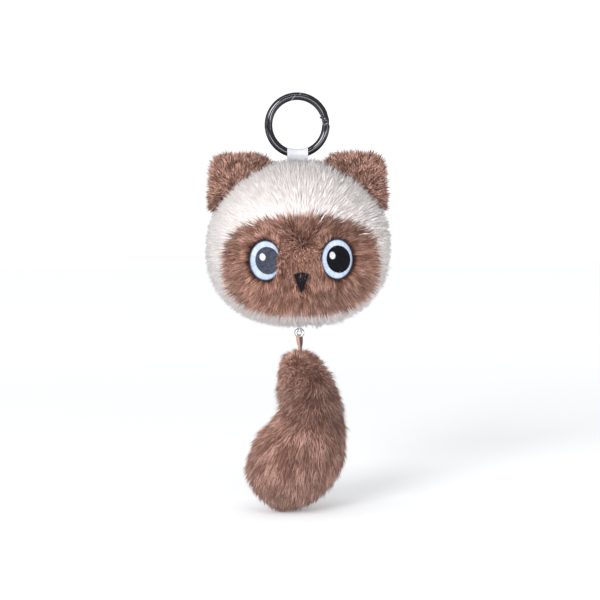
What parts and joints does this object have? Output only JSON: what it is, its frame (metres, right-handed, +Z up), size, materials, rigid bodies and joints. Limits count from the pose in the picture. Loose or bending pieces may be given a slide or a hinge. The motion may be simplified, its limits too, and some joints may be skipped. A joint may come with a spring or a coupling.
{
  "type": "plush keychain",
  "caption": "Plush cat-head keychain with embroidered eyes, a swinging fur tail and a spring gate ring to hang it by.",
  "frame": {"origin": "top of the hole of the spring gate ring, where the keychain hangs on a hook, strap or key ring", "axes": "+Z up towards what it hangs from, -Y the way the face looks, +X to the right as the face is seen from in front"},
  "size_m": [0.0908, 0.0588, 0.21],
  "materials": {
    "ring_metal": "polished",
    "spring_steel": "satin",
    "link_metal": "gloss",
    "ribbon": "satin",
    "cream_fur": "matte",
    "brown_fur": "matte",
    "filling": "matte",
    "thread_dark": "satin",
    "thread_blue": "satin",
    "thread_slate": "satin",
    "thread_white": "satin",
    "thread_black": "matte",
    "loop_cord": "satin",
    "tail_cord": "satin"
  },
  "bodies": {
    "ring": {"ring_body": "ring_metal", "gate_pin": "ring_metal"},
    "gate": {"ring_gate": "ring_metal", "gate_spring": "spring_steel"},
    "tab": {"tab_loop": "ribbon"},
    "head": {"tab_ends": "ribbon", "head_front": "cream_fur", "head_back": "cream_fur", "face_mask": "brown_fur", "head_stuffing": "filling", "eye_patch_left": "thread_dark", "eye_blue_left": "thread_blue", "eye_pupil_left": "thread_slate", "eye_glint_left": "thread_white", "eye_patch_right": "thread_dark", "eye_blue_right": "thread_blue", "eye_pupil_right": "thread_slate", "eye_glint_right": "thread_white", "nose": "thread_black", "ear_left_front": "brown_fur", "ear_left_back": "brown_fur", "ear_right_front": "brown_fur", "ear_right_back": "brown_fur", "link_loop": "loop_cord"},
    "link": {"link_ring": "link_metal"},
    "tail": {"tail_cord": "tail_cord", "tail_front": "brown_fur", "tail_back": "brown_fur", "tail_stuffing": "filling"}
  },
  "joints": [
    {"name": "gate_hinge", "type": "hinge", "parent": "ring", "child": "gate", "pos_m": [0.01432, 0, -0.01023], "axis": [0, -1, 0], "range_deg": [0, 35], "stiffness_Nm_per_rad": 0.03, "springref_deg": -20.05},
    {"name": "tab_slide", "type": "hinge", "parent": "ring", "child": "tab", "pos_m": [0, 0, -0.0125], "axis": [0, -1, 0], "range_deg": [-120, 50]},
    {"name": "head_swing", "type": "hinge", "parent": "tab", "child": "head", "pos_m": [0, 0, -0.027], "axis": [1, 0, 0], "range_deg": [-80, 80]},
    {"name": "link_swing", "type": "hinge", "parent": "head", "child": "link", "pos_m": [0, 0, -0.11595], "axis": [1, 0, 0], "range_deg": [-50, 50]},
    {"name": "tail_sway", "type": "hinge", "parent": "link", "child": "tail", "pos_m": [0, 0, -0.11815], "axis": [0, -1, 0], "range_deg": [-50, 50]}
  ]
}
